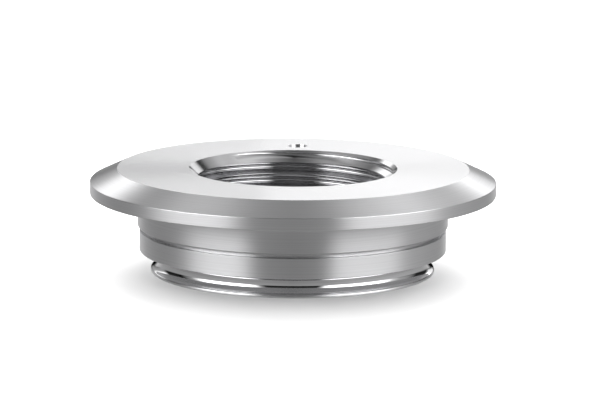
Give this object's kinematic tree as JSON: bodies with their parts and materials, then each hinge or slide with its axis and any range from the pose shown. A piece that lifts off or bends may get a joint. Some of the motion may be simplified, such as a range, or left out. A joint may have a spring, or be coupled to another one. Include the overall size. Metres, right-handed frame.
{
  "type": "hygienic process adapter",
  "caption": "Turned steel adapter: a conical-edged clamp flange over a stepped spigot with a seal groove and polished lip, and a threaded bore with a relief and a seat.",
  "frame": {"origin": "on the axis, in the plane of the bottom face that stands on the table", "axes": "+Z along the bore's axis, from the spigot up to the flange; +Y towards the leak hole"},
  "size_m": [0.066, 0.066, 0.0168],
  "materials": {
    "steel": "fine turned grain, with a polished lip and seal groove"
  },
  "bodies": {
    "root": {"adapter_body": "steel"}
  },
  "joints": []
}
